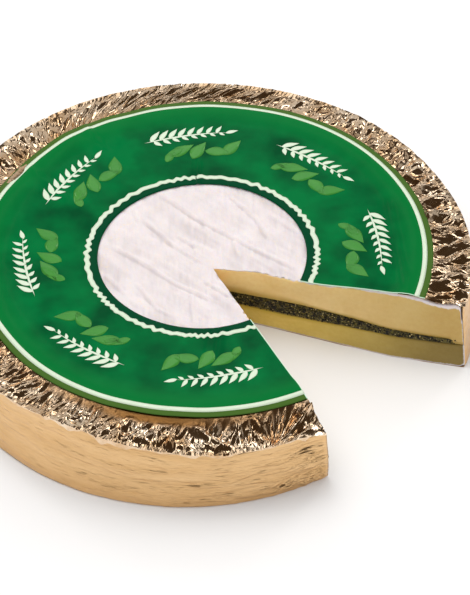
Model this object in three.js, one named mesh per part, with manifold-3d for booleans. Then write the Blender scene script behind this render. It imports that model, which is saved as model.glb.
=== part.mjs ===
import * as THREE from 'three';
import { mergeVertices } from 'three/addons/utils/BufferGeometryUtils.js';
import Module from 'manifold-3d';

// A soft cheese wheel with a white rind and a herb layer through its middle. Gold foil wraps its foot and
// side and folds over its rim, a ring-shaped label lies on top, and one wedge is cut out.
// Millimetres. Z is the wheel's axis, and the foil's underside lies at Z = 0.
// Angles are radians from +X towards +Y, except where a name ends in Deg.

// The wheel as wrapped.
const footRadius = 132;
const shoulderRadius = 130;
const footHeight = 5;
const shoulderHeight = 32;
const rindHeight = 38;
const rindFallStart = 105;
const rimRindHeight = 35.2;
const cornerRound = 4.8;

// Clear space between pieces that touch.
const gap = 0.3;

// The foil: its wall, the inner edge of the flange that goes under the label, and its crumples.
const foilWall = 0.5;
const foilFlangeRadius = 97;
const foilSegments = 128;
const foilSlack = 0.6;
const footBevel = 2.4;
const footRound = 1.2;
const crumpleLift = 2.6;
const crumpleShift = 1.8;
const sideWrinkle = 0.3;

// The foil's rim from the shoulder in to the label: inset from the shoulder, height over the paste's rim
// and share of the full crumple.
const rimSteps = [
  { inset: 1.4, rise: -1.4, share: 0.5 },
  { inset: 4, rise: -0.2, share: 0.8 },
  { inset: 7.5, rise: 0, share: 1 },
  { inset: 11, rise: 0, share: 1 },
  { inset: 14.5, rise: 0.1, share: 0.8 },
  { inset: 18, rise: 1, share: 0.4 },
];

// The rim sags on one side, where the wheel has slumped.
const slumpDeg = -78;
const slumpWidthDeg = 22;
const slumpDepth = 4.5;
const slumpRadii = [110, 126];
const slumpHeights = [14, 30];

// The herb layer: it thins towards the rim and ends short of the side.
const layerRadius = 124;
const layerTopHeight = 21;
const layerBottomHeight = 13.2;
const layerTopFall = 5.2;
const layerFallStart = 45;
const layerFallEnd = 115;
const layerRings = [0, 30, 60, 90, 112, layerRadius];
const layerWave = 0.6;

// The label: a film ring that steps up over the edge of the foil flange.
const labelHoleRadius = 51.5;
const labelRadius = 111;
const labelThickness = 0.4;
const labelWave = 0.8;
const labelHoleWave = 0.7;

// The cut: its tip, its two walls and how far the foot of each wall leans out of the line of its top.
const cutTip = new THREE.Vector2(5.1, -11);
const rightWallDeg = -13.8;
const frontWallDeg = -64.6;
const cutReach = 190;
const leanReach = 86;
const tipLean = 7.8;
const rightWallLean = -4.2;
const cutLow = -10;
const cutHigh = 60;

const foodSegments = 72;
const foilInset = foilWall + foilSlack;
const pasteInset = foilInset + gap;
const wasm = await Module();
wasm.setup();

function seededRandom(seed) {
  let state = seed;
  return () => {
    state = (state + 0x6d2b79f5) | 0;
    let value = Math.imul(state ^ (state >>> 15), 1 | state);
    value = (value + Math.imul(value ^ (value >>> 7), 61 | value)) ^ value;
    return ((value ^ (value >>> 14)) >>> 0) / 4294967296;
  };
}

function wrappedDegrees(angle) {
  const turned = THREE.MathUtils.radToDeg(angle) - slumpDeg;
  return THREE.MathUtils.euclideanModulo(turned + 180, 360) - 180;
}

// How far the rim sags at a place: most at the shoulder, nothing on the flat top or low on the side.
function slump(radius, height, angle) {
  const along = Math.exp(-((wrappedDegrees(angle) / slumpWidthDeg) ** 2));
  const outward = THREE.MathUtils.smoothstep(radius, ...slumpRadii);
  const upward = THREE.MathUtils.smoothstep(height, ...slumpHeights);
  return slumpDepth * along * outward * upward;
}

function sideRadius(height) {
  const up = THREE.MathUtils.clamp((height - footHeight) / (shoulderHeight - footHeight), 0, 1);
  return THREE.MathUtils.lerp(footRadius, shoulderRadius, up);
}

function layerTop(radius, angle) {
  const fall = THREE.MathUtils.smoothstep(radius, layerFallStart, layerFallEnd);
  const wave = Math.sin(radius * Math.cos(angle) / 17) * Math.cos(radius * Math.sin(angle) / 23);
  return layerTopHeight - layerTopFall * fall + layerWave * wave;
}

function layerBottom(radius, angle) {
  const wave = Math.sin(radius * Math.cos(angle) / 13 + 1) * Math.cos(radius * Math.sin(angle) / 19);
  return layerBottomHeight + layerWave * wave;
}

// A ring is a function of an angle and a column number that gives one point of the body's surface.
function ring(radius, height) {
  return (angle) => ({ radius, angle, height: height - slump(radius, height, angle) });
}

function heightRing(radius, heightAt, offset) {
  return (angle) => ({ radius, angle, height: heightAt(radius, angle) + offset });
}

// The top of the paste's rim, from the label's edge out over the corner, and the same line grown for the
// inner side of the foil.
function rimOutline(lift, inset) {
  return [
    ring(labelRadius, rimRindHeight + 0.7 + lift),
    ring(labelRadius + 5, rimRindHeight + lift),
    ring(shoulderRadius - inset - cornerRound, rimRindHeight + lift),
    ring(shoulderRadius - inset - cornerRound / 4, rimRindHeight - cornerRound / 3 + lift),
    ring(shoulderRadius - inset, shoulderHeight - 2),
  ];
}

function crumpledRing(radius, height, outward, random) {
  const columns = Array.from({ length: foilSegments }, () => [random(), random(), random()]);
  const { lift, push, shift } = outward;
  return (angle, column) => {
    const [rise, out, turn] = columns[column];
    return {
      radius: radius + push * out + shift * (turn - 0.5),
      angle: angle + shift * (rise - 0.5) / radius,
      height: height + lift * rise - slump(radius, height, angle),
    };
  };
}

// A closed body of rings round the Z axis. The first and last ring have no radius.
function ringedGeometry(rings, segments) {
  const profile = rings.map((at, index) => new THREE.Vector2(at(0, 0).radius, index));
  const geometry = new THREE.LatheGeometry(profile, segments);
  const position = geometry.getAttribute('position');
  for (let i = 0; i < position.count; i += 1) {
    const column = Math.floor(i / rings.length) % segments;
    const point = rings[i % rings.length]((column / segments) * 2 * Math.PI, column);
    const x = point.radius * Math.cos(point.angle);
    const y = point.radius * Math.sin(point.angle);
    position.setXYZ(i, x, y, point.height);
  }
  return geometry;
}

function signedVolume(vertices, triangles) {
  const corner = (i) => new THREE.Vector3().fromArray(vertices, triangles[i] * 3);
  let sum = 0;
  for (let i = 0; i < triangles.length; i += 3) {
    sum += corner(i).dot(corner(i + 1).cross(corner(i + 2)));
  }
  return sum / 6;
}

function toSolid(geometry) {
  const bare = geometry.clone();
  bare.deleteAttribute('normal');
  bare.deleteAttribute('uv');
  const merged = mergeVertices(bare, 1e-4);
  const vertices = new Float32Array(merged.getAttribute('position').array);
  const triangles = [];
  const index = merged.getIndex().array;
  for (let i = 0; i < index.length; i += 3) {
    const [a, b, c] = [index[i], index[i + 1], index[i + 2]];
    if (a !== b && b !== c && c !== a) {
      triangles.push(a, b, c);
    }
  }
  if (signedVolume(vertices, triangles) < 0) {
    triangles.reverse();
  }
  const triVerts = new Uint32Array(triangles);
  return new wasm.Manifold(new wasm.Mesh({ numProp: 3, vertProperties: vertices, triVerts }));
}

function toGeometry(solid) {
  const mesh = solid.getMesh();
  const geometry = new THREE.BufferGeometry();
  geometry.setAttribute('position', new THREE.BufferAttribute(new Float32Array(mesh.vertProperties), 3));
  geometry.setIndex(new THREE.BufferAttribute(new Uint32Array(mesh.triVerts), 1));
  geometry.computeVertexNormals();
  return geometry;
}

function towards(degrees) {
  const angle = THREE.MathUtils.degToRad(degrees);
  return new THREE.Vector2(Math.cos(angle), Math.sin(angle));
}

// The wedge that is cut away. At the height of the rind its walls run straight from the tip; below that
// each corner of its outline moves by its lean.
function cutWedge() {
  const right = towards(rightWallDeg);
  const front = towards(frontWallDeg);
  const acrossRight = new THREE.Vector2(-right.y, right.x);
  const corners = [
    { at: cutTip, lean: tipLean },
    { at: cutTip.clone().addScaledVector(front, cutReach), lean: 0 },
    { at: cutTip.clone().addScaledVector(right, cutReach), lean: rightWallLean },
    { at: cutTip.clone().addScaledVector(right, leanReach), lean: rightWallLean },
  ];
  const outline = new THREE.Shape(corners.map((corner) => corner.at));
  const geometry = new THREE.ExtrudeGeometry(outline, { depth: cutHigh - cutLow, bevelEnabled: false });
  geometry.translate(0, 0, cutLow);
  const position = geometry.getAttribute('position');
  for (let i = 0; i < position.count; i += 1) {
    const here = new THREE.Vector2(position.getX(i), position.getY(i));
    const { lean } = corners.find((corner) => corner.at.distanceTo(here) < 0.01);
    const moved = here.addScaledVector(acrossRight, lean * (1 - position.getZ(i) / rindHeight));
    position.setXY(i, moved.x, moved.y);
  }
  return toSolid(geometry);
}

const wedge = cutWedge();

function cutMesh(name, geometry, finish) {
  const solid = toSolid(geometry).subtract(wedge);
  const mesh = new THREE.Mesh(toGeometry(solid), new THREE.MeshStandardMaterial(finish));
  mesh.name = name;
  return mesh;
}

function foilWrap() {
  const random = seededRandom(4540);
  const crumple = (radius, height, share) => {
    const outward = { lift: crumpleLift * share, push: 0, shift: crumpleShift * share };
    return crumpledRing(radius, height, outward, random);
  };
  const wrinkle = (height) => {
    const outward = { lift: 0, push: -sideWrinkle, shift: 0 };
    return crumpledRing(sideRadius(height), height, outward, random);
  };
  const flangeTop = rindHeight + gap + foilWall;
  const rimTop = rimRindHeight + gap + foilWall;
  const outside = [
    ring(0, 0),
    ring(footRadius - 20, 0),
    ring(footRadius - footBevel, 0),
    ring(footRadius - foilWall, footRound),
    ring(footRadius, footHeight),
    ...[12, 19, 26].map(wrinkle),
    crumple(shoulderRadius - foilWall, shoulderHeight, 0.2),
    ...rimSteps.map((step) => crumple(shoulderRadius - step.inset, rimTop + step.rise, step.share)),
    ring(rindFallStart + 1, flangeTop),
    ring(foilFlangeRadius, flangeTop),
  ];
  const inside = [
    ring(foilFlangeRadius, flangeTop - foilWall),
    ring(rindFallStart, flangeTop - foilWall),
    ...rimOutline(gap, foilInset),
    ring(footRadius - foilInset, footHeight),
    ring(footRadius - footBevel, foilWall),
    ring(0, foilWall),
  ];
  const finish = { color: 0xd8b080, roughness: 0.35, metalness: 1 };
  return cutMesh('foil_wrap', ringedGeometry([...outside, ...inside], foilSegments), finish);
}

function lowerPaste() {
  const bottom = foilWall + gap;
  const crown = layerRings.map((radius) => heightRing(radius, layerBottom, -gap / 2)).reverse();
  const rings = [
    ring(0, bottom),
    ring(footRadius - footBevel - 2, bottom),
    ring(footRadius - pasteInset, footHeight),
    heightRing(sideRadius(layerBottomHeight) - pasteInset, layerBottom, -gap / 2),
    ...crown,
  ];
  return cutMesh('lower_paste', ringedGeometry(rings, foodSegments), { color: 0xaa8d4e, roughness: 0.5 });
}

function pestoLayer() {
  const under = layerRings.map((radius) => heightRing(radius, layerBottom, gap / 2));
  const over = layerRings.map((radius) => heightRing(radius, layerTop, -gap / 2)).reverse();
  const finish = { color: 0x3b371f, roughness: 0.6 };
  return cutMesh('pesto_layer', ringedGeometry([...under, ...over], foodSegments), finish);
}

// The upper paste covers the herb layer and closes down round its edge onto the lower paste.
function upperPaste() {
  const lipRadius = layerRadius + gap;
  const rings = [
    ...layerRings.map((radius) => heightRing(radius, layerTop, gap / 2)),
    heightRing(lipRadius, layerTop, gap / 2),
    heightRing(lipRadius, layerBottom, gap / 2),
    heightRing(sideRadius(layerBottomHeight) - pasteInset, layerBottom, gap / 2),
    ...rimOutline(0, pasteInset).reverse(),
    ring(rindFallStart, rindHeight),
    ring(labelHoleRadius, rindHeight),
    ring(0, rindHeight),
  ];
  return cutMesh('upper_paste', ringedGeometry(rings, foodSegments), { color: 0xcdb076, roughness: 0.5 });
}

function labelRing() {
  const foilTop = rindHeight + gap + foilWall;
  const wavedRing = (radius, height) => (angle) => {
    const edge = THREE.MathUtils.smoothstep(radius, foilFlangeRadius, labelRadius);
    const wave = labelWave * edge * (0.5 + 0.5 * Math.sin(5 * angle + 1) * Math.cos(2 * angle));
    const holeEdge = 1 - THREE.MathUtils.smoothstep(radius, labelHoleRadius, 60);
    const wobble = labelHoleWave * holeEdge * Math.sin(3 * angle) * Math.cos(2 * angle + 1);
    return { radius: radius + wobble, angle, height: height + wave };
  };
  const under = [
    wavedRing(labelHoleRadius, rindHeight + gap),
    wavedRing(foilFlangeRadius - 3, rindHeight + gap),
    wavedRing(foilFlangeRadius - 1, foilTop + gap),
    wavedRing(labelRadius, foilTop + gap),
  ];
  const over = [
    wavedRing(labelRadius, foilTop + gap + labelThickness),
    wavedRing(foilFlangeRadius - 1, foilTop + gap + labelThickness),
    wavedRing(foilFlangeRadius - 3, rindHeight + gap + labelThickness),
    wavedRing(labelHoleRadius, rindHeight + gap + labelThickness),
  ];
  const closed = [...under, ...over, under[0]];
  const finish = { color: 0x036c36, roughness: 0.25 };
  return cutMesh('label_ring', ringedGeometry(closed, foodSegments), finish);
}

const wheel = new THREE.Group();
wheel.add(lowerPaste(), pestoLayer(), upperPaste(), foilWrap(), labelRing());

export default wheel;
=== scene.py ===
"""A foil-wrapped soft cheese wheel with a herb layer, a ring label and one wedge cut out.

Lengths in the tables and functions are millimetres, and MM turns them into Blender's metres. Every round
piece is laid out by turns about the tip of the cut, so that all pieces end on the same two cut walls.
"""
import math

import bmesh
import bpy
import numpy as np
from mathutils import Matrix, Vector
from mathutils.geometry import delaunay_2d_cdt


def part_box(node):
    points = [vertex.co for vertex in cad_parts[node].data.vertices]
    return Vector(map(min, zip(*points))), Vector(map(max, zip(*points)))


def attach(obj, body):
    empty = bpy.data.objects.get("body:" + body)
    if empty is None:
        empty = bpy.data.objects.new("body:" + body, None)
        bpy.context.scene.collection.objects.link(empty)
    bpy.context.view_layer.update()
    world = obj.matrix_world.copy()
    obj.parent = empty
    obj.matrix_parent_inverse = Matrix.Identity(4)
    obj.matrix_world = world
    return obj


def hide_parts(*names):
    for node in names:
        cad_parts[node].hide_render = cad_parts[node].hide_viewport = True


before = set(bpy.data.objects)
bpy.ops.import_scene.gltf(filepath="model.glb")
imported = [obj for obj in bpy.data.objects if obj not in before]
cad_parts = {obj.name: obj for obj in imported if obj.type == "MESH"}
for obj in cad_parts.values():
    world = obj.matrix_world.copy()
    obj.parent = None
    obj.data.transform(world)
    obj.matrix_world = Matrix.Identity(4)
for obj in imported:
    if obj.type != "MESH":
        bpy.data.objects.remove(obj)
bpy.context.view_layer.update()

MM = 0.001
FOOT_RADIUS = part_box("foil_wrap")[1][0] / MM
LABEL_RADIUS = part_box("label_ring")[1][0] / MM
LAYER_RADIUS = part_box("pesto_layer")[1][0] / MM
LABEL_HOLE = 50.6
WINDOW_SHIFT = 1.8
RIND_HEIGHT = 38.0
SHOULDER_RADIUS = 130.0
PASTE_INSET = 0.45

# The cut: its tip, its walls and how far the foot of each wall leans out from under its top.
TIP = np.array([5.1, -11.0])
FRONT_DEGREES = 360.0 - 64.6
RIGHT_WALL = math.radians(-13.8)
FRONT_WALL = math.radians(FRONT_DEGREES)
TIP_LEAN = 7.8
RIGHT_LEAN = -4.2
LEAN_REACH = 87.0
CUT_REACH = 190.0

# The rim's sag at the front. Angles and widths that around() takes are degrees.
SLUMP_ANGLE = -78.0
SLUMP_WIDTH = 22.0
SLUMP_DEPTH = 4.5

# How far the rim has settled at the back right.
SETTLED_ANGLE = 62.0
SETTLED_WIDTH = 55.0
SETTLED_DOWN = 2.2
SETTLED_IN = 1.6

# Thickness of each sheet.
SIDE_FOIL = 0.12
RIM_FOIL = 0.08
FILM = 0.16
INK = 0.03


def smoothstep(low, high, value):
    t = np.clip((np.asarray(value, float) - low) / (high - low), 0.0, 1.0)
    return t * t * (3.0 - 2.0 * t)


def lattice(column, row, seed):
    mixed = (column * 374761393 + row * 668265263 + seed * 1274126177) & 0xFFFFFFFF
    mixed = ((mixed ^ (mixed >> 13)) * 1274126177) & 0xFFFFFFFF
    return ((mixed ^ (mixed >> 16)) & 0xFFFF) / 65535.0


def noise(x, y, seed):
    """Smooth noise from 0 to 1 with cells of size 1."""
    x, y = np.broadcast_arrays(np.asarray(x, float), np.asarray(y, float))
    column = np.floor(x).astype(np.int64)
    row = np.floor(y).astype(np.int64)
    u = smoothstep(0.0, 1.0, x - column)
    v = smoothstep(0.0, 1.0, y - row)
    low = lattice(column, row, seed) * (1 - u) + lattice(column + 1, row, seed) * u
    high = lattice(column, row + 1, seed) * (1 - u) + lattice(column + 1, row + 1, seed) * u
    return low * (1 - v) + high * v


def layered_noise(x, y, seed, layers=3):
    """Noise from -1 to 1 with finer layers added."""
    total = 0.0
    weight = 0.0
    for layer in range(layers):
        share = 0.5 ** layer
        total = total + share * noise(x * 2 ** layer, y * 2 ** layer, seed + layer)
        weight += share
    return 2.0 * total / weight - 1.0


def reach(turn, radius):
    """Distance from the cut's tip to the circle of a radius about the wheel's axis."""
    along = TIP[0] * np.cos(turn) + TIP[1] * np.sin(turn)
    return -along + np.sqrt(along ** 2 + np.asarray(radius, float) ** 2 - TIP @ TIP)


def lean(turn, distance):
    """How far the foot of the food lies out from under its top, across the right wall."""
    free = TIP_LEAN * np.exp(-(distance / 12.0) ** 2)
    right = np.maximum(TIP_LEAN + (RIGHT_LEAN - TIP_LEAN) * distance / LEAN_REACH, RIGHT_LEAN)
    front = TIP_LEAN * (1.0 - distance / CUT_REACH)
    part = (turn - RIGHT_WALL) / (FRONT_WALL - RIGHT_WALL)
    near_right = 1.0 - smoothstep(0.0, 0.12, part)
    near_front = smoothstep(0.88, 1.0, part)
    return free + (right - free) * near_right + (front - free) * near_front


def wander(points):
    """Bends the top of the right wall back near the tip and forward further out, as the knife left it."""
    x = points[..., 0] - TIP[0]
    y = points[..., 1] - TIP[1]
    along = x * math.cos(RIGHT_WALL) + y * math.sin(RIGHT_WALL)
    across = -x * math.sin(RIGHT_WALL) + y * math.cos(RIGHT_WALL)
    bend = 1.7 * np.exp(-((along - 21.0) / 12.0) ** 2) - 1.3 * np.exp(-((along - 52.0) / 15.0) ** 2)
    bend = bend * np.exp(-np.abs(across) / 9.0) * smoothstep(24.0, 38.0, points[..., 2])
    moved = points.copy()
    moved[..., 0] -= bend * math.sin(RIGHT_WALL)
    moved[..., 1] += bend * math.cos(RIGHT_WALL)
    return moved


def place(turn, distance, height):
    """A point at a turn and distance from the cut's tip."""
    turn, distance, height = np.broadcast_arrays(
        np.asarray(turn, float), np.asarray(distance, float), np.asarray(height, float))
    shift = lean(turn, distance) * (1.0 - height / RIND_HEIGHT)
    x = TIP[0] + distance * np.cos(turn) - shift * math.sin(RIGHT_WALL)
    y = TIP[1] + distance * np.sin(turn) + shift * math.cos(RIGHT_WALL)
    return wander(np.stack([x, y, height], axis=-1))


def about_axis(turn, distance):
    """Radius and angle about the wheel's axis of a point at a turn and distance from the tip."""
    x = TIP[0] + distance * np.cos(turn)
    y = TIP[1] + distance * np.sin(turn)
    return np.hypot(x, y), np.arctan2(y, x)


def around(angle, centre, width):
    """A hump of height 1 round an angle. The centre and the width are degrees."""
    away = (np.asarray(angle) - math.radians(centre) + math.pi) % (2.0 * math.pi) - math.pi
    return np.exp(-(away / math.radians(width)) ** 2)


def slump(radius, height, angle):
    outward = smoothstep(110.0, 126.0, radius)
    upward = smoothstep(14.0, 30.0, height)
    return SLUMP_DEPTH * around(angle, SLUMP_ANGLE, SLUMP_WIDTH) * outward * upward


def settling(angle):
    return around(angle, SETTLED_ANGLE, SETTLED_WIDTH) + 0.5 * around(angle, 24.0, 20.0)


def settled(radius, angle):
    return settling(angle) * smoothstep(108.0, 124.0, radius)


def from_cut(radius, angle):
    """How far a point lies from the nearer wall of the cut, measured round the tip."""
    x = radius * np.cos(angle) - TIP[0]
    y = radius * np.sin(angle) - TIP[1]
    turn = (np.arctan2(y, x) - RIGHT_WALL) % (2.0 * math.pi)
    nearer = np.minimum(turn, FRONT_WALL - RIGHT_WALL - turn)
    return np.maximum(nearer, 0.0) * np.hypot(x, y)


def side_radius(height):
    up = np.clip((np.asarray(height, float) - 5.0) / 27.0, 0.0, 1.0)
    return FOOT_RADIUS + (SHOULDER_RADIUS - FOOT_RADIUS) * up


def wrapped_radius(height, angle):
    """Outer radius of the wrapped side: full at the front left's foot, drawn in beside the cut."""
    full = 1.6 * around(angle, -116.0, 22.0)
    drawn_in = 1.8 * around(angle, FRONT_DEGREES, 8.0)
    leaning = SETTLED_IN * settling(angle) * smoothstep(6.0, 30.0, height)
    return side_radius(height) - leaning + (full - drawn_in) * (1.0 - smoothstep(0.0, 16.0, height))


def layer_top(radius, angle):
    x = radius * np.cos(angle)
    y = radius * np.sin(angle)
    return 21.0 - 5.2 * smoothstep(45.0, 115.0, radius) + 0.6 * np.sin(x / 17.0) * np.cos(y / 23.0)


def layer_bottom(radius, angle):
    x = radius * np.cos(angle)
    y = radius * np.sin(angle)
    return 13.2 + 0.6 * np.sin(x / 13.0 + 1.0) * np.cos(y / 19.0)


# Radius and height along the top of the rind.
RIND_PROFILE = np.array([
    [0.0, 38.0], [103.0, 38.0], [108.0, 37.2], [113.0, 35.6], [117.0, 35.0],
    [122.0, 35.3], [126.0, 36.0], [127.6, 35.7], [128.4, 34.6], [128.7, 28.0]])


def rind_top(radius, angle):
    """Height of the top of the rind, before its creases."""
    down = settled(radius, angle)
    flat = np.interp(radius + SETTLED_IN * down, RIND_PROFILE[:, 0], RIND_PROFILE[:, 1])
    clear = 2.4 * smoothstep(110.0, 114.0, radius) * smoothstep(1.0, 8.0, from_cut(radius, angle))
    return flat - slump(radius, flat, angle) - SETTLED_DOWN * down - clear


def grid_faces(rows, columns, start=0):
    index = start + np.arange(rows * columns).reshape(rows, columns)
    corners = [index[:-1, :-1], index[:-1, 1:], index[1:, 1:], index[1:, :-1]]
    return np.stack([corner.ravel() for corner in corners], axis=-1).tolist()


def store(mesh, **attributes):
    """Float attributes on a mesh's points."""
    for key, values in attributes.items():
        layer = mesh.attributes.new(key, "FLOAT", "POINT")
        layer.data.foreach_set("value", np.asarray(values, np.float32).ravel())


def points_of(piece):
    points = np.empty(len(piece.data.vertices) * 3)
    piece.data.vertices.foreach_get("co", points)
    return points.reshape(-1, 3)


def move_points(piece, points):
    """Sets a piece's points from millimetres."""
    piece.data.vertices.foreach_set("co", (points * MM).ravel())
    piece.data.update()


def new_piece(name, points, faces, attributes=None, merge=0.0):
    """A mesh object at the origin from millimetre points, with float attributes on its points."""
    mesh = bpy.data.meshes.new(name)
    mesh.from_pydata((np.asarray(points, float) * MM).tolist(), [], faces)
    store(mesh, **(attributes or {}))
    shape = bmesh.new()
    shape.from_mesh(mesh)
    if merge:
        bmesh.ops.remove_doubles(shape, verts=shape.verts, dist=merge * MM)
        bmesh.ops.dissolve_degenerate(shape, edges=shape.edges, dist=1e-7)
    bmesh.ops.recalc_face_normals(shape, faces=shape.faces)
    shape.to_mesh(mesh)
    shape.free()
    mesh.polygons.foreach_set("use_smooth", [True] * len(mesh.polygons))
    mesh.update()
    piece = bpy.data.objects.new(name, mesh)
    bpy.context.collection.objects.link(piece)
    return piece


def trim_at_cut(piece, unit=1.0):
    """Cuts a mesh off at the walls of the cut. The unit is the mesh's own size of one millimetre."""
    shape = bmesh.new()
    shape.from_mesh(piece.data)
    corner = Vector((*TIP, 0.0)) * unit

    def from_corner(face):
        return face.calc_center_median() - corner

    for wall, sign in ((RIGHT_WALL, 1.0), (FRONT_WALL, -1.0)):
        ahead = Vector((math.cos(wall), math.sin(wall), 0.0))
        into_cut = Vector((math.sin(wall), -math.cos(wall), 0.0)) * sign
        near = [face for face in shape.faces if from_corner(face).dot(ahead) > 0.0]
        parts = near + list({edge for face in near for edge in face.edges})
        parts += list({vertex for face in near for vertex in face.verts})
        bmesh.ops.bisect_plane(shape, geom=parts, plane_co=corner, plane_no=into_cut)
    beyond = []
    for face in shape.faces:
        away = from_corner(face)
        turn = math.atan2(away.y, away.x)
        if FRONT_WALL - 2.0 * math.pi < turn < RIGHT_WALL:
            beyond.append(face)
    bmesh.ops.delete(shape, geom=beyond, context="FACES")
    shape.to_mesh(piece.data)
    shape.free()


def apply_modifiers(piece):
    """Turns a piece's modifiers into plain mesh."""
    depsgraph = bpy.context.evaluated_depsgraph_get()
    mesh = bpy.data.meshes.new_from_object(piece.evaluated_get(depsgraph), depsgraph=depsgraph)
    piece.modifiers.clear()
    piece.data = mesh
    return piece


def thicken(piece, thickness):
    """Gives a sheet its thickness, inwards from its outer face."""
    shell = piece.modifiers.new("thickness", "SOLIDIFY")
    shell.thickness = thickness * MM
    shell.offset = -1.0
    shell.use_even_offset = False
    return apply_modifiers(piece)


def finish_piece(piece, material, node):
    piece.data.materials.clear()
    piece.data.materials.append(material)
    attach(piece, "root")
    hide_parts(node)
    return piece


# Shader building blocks.


class Nodes:
    """A node tree under construction. A value that is no socket becomes the default of its input."""

    def __init__(self, tree):
        self.tree = tree

    def link(self, source, target):
        if isinstance(source, bpy.types.NodeSocket):
            self.tree.links.new(source, target)
        else:
            target.default_value = source

    def add(self, kind, inputs=None, **values):
        node = self.tree.nodes.new(kind)
        for key, value in values.items():
            setattr(node, key, value)
        for key, value in (inputs or {}).items():
            self.link(value, node.inputs[key])
        return node

    def math(self, operation, *values, clamp=False):
        node = self.add("ShaderNodeMath", dict(enumerate(values)), operation=operation, use_clamp=clamp)
        return node.outputs[0]

    def blend(self, kind, factor, first, second):
        """Two colours mixed or multiplied."""
        inputs = {"Factor": factor, "A": first, "B": second}
        return self.add("ShaderNodeMix", inputs, data_type="RGBA", blend_type=kind).outputs["Result"]

    def noise(self, vector, scale, detail=2.0):
        inputs = {"Vector": vector, "Scale": scale, "Detail": detail}
        return self.add("ShaderNodeTexNoise", inputs).outputs["Fac"]

    def bump(self, height, strength, distance, **normal):
        inputs = {"Height": height, "Strength": strength, "Distance": distance, **normal}
        return self.add("ShaderNodeBump", inputs).outputs["Normal"]


class Group(Nodes):
    """A node group under construction, with named inputs."""

    def __init__(self, name, kind, inputs):
        super().__init__(bpy.data.node_groups.new(name, kind))
        for label, socket_kind, value in inputs:
            socket_type = "NodeSocket" + socket_kind
            socket = self.tree.interface.new_socket(label, in_out="INPUT", socket_type=socket_type)
            if value is not None:
                socket.default_value = value
        self.value = self.add("NodeGroupInput").outputs

    def close(self, label, result):
        self.tree.interface.new_socket(label, in_out="OUTPUT", socket_type=result.bl_idname)
        self.add("NodeGroupOutput", {label: result})
        return self.tree


def mottle_group():
    """Colour that wanders between two colours, with finer specks on top."""
    group = Group("mottled colour", "ShaderNodeTree", [
        ("Vector", "Vector", None), ("Light", "Color", (1, 1, 1, 1)), ("Dark", "Color", (0.5, 0.5, 0.5, 1)),
        ("Patches", "Float", 60.0), ("Grain", "Float", 900.0), ("Contrast", "Float", 1.0)])
    value = group.value
    patches = group.noise(value["Vector"], value["Patches"])
    grain = group.noise(value["Vector"], value["Grain"])
    both = group.add("ShaderNodeMix", {"Factor": 0.35, "A": patches, "B": grain}).outputs["Result"]
    share = group.math("MULTIPLY_ADD", group.math("SUBTRACT", both, 0.5), value["Contrast"], 0.5, clamp=True)
    return group.close("Color", group.blend("MIX", share, value["Light"], value["Dark"]))


def relief_group():
    """A bumped normal from two sizes of noise."""
    group = Group("fine relief", "ShaderNodeTree", [
        ("Vector", "Vector", None), ("Coarse", "Float", 300.0), ("Fine", "Float", 1500.0),
        ("Strength", "Float", 0.3), ("Depth", "Float", 0.0003)])
    value = group.value
    coarse = group.noise(value["Vector"], value["Coarse"], 3.0)
    fine = group.noise(value["Vector"], value["Fine"])
    height = group.math("MULTIPLY_ADD", fine, 0.4, coarse)
    return group.close("Normal", group.bump(height, value["Strength"], value["Depth"]))


MOTTLE = mottle_group()
RELIEF = relief_group()


def srgb(red, green, blue):
    """A linear colour from the 0 to 255 values of a colour as seen."""
    def linear(value):
        part = value / 255.0
        return part / 12.92 if part <= 0.04045 else ((part + 0.055) / 1.055) ** 2.4
    return (linear(red), linear(green), linear(blue), 1.0)


class Finish(Nodes):
    """A material under construction: a Principled BSDF, with helpers that wire colour and relief to it."""

    def __init__(self, name, roughness, **sockets):
        self.material = bpy.data.materials.new(name)
        self.material.use_nodes = True
        super().__init__(self.material.node_tree)
        self.surface(Roughness=roughness, **sockets)

    def surface(self, **sockets):
        """Sets or links the shader's sockets, named with an underscore for each space."""
        shader = self.tree.nodes["Principled BSDF"]
        for key, value in sockets.items():
            self.link(value, shader.inputs[key.replace("_", " ")])
        return self.material

    def coordinates(self, scale=(1.0, 1.0, 1.0), source="Object"):
        where = self.add("ShaderNodeTexCoord").outputs[source]
        return self.add("ShaderNodeMapping", {"Vector": where, "Scale": scale}).outputs["Vector"]

    def group(self, tree, vector, **values):
        """The output of a shader group."""
        return self.add("ShaderNodeGroup", {"Vector": vector, **values}, node_tree=tree).outputs[0]

    def attribute(self, name):
        return self.add("ShaderNodeAttribute", attribute_name=name).outputs["Fac"]

    def ramp(self, value, low, high):
        """0 at the low value, 1 at the high one, smooth between."""
        inputs = {"Value": value, "From Min": low, "From Max": high}
        return self.add("ShaderNodeMapRange", inputs, interpolation_type="SMOOTHSTEP").outputs["Result"]

    def mix(self, factor, first, second):
        return self.blend("MIX", factor, first, second)


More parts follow.
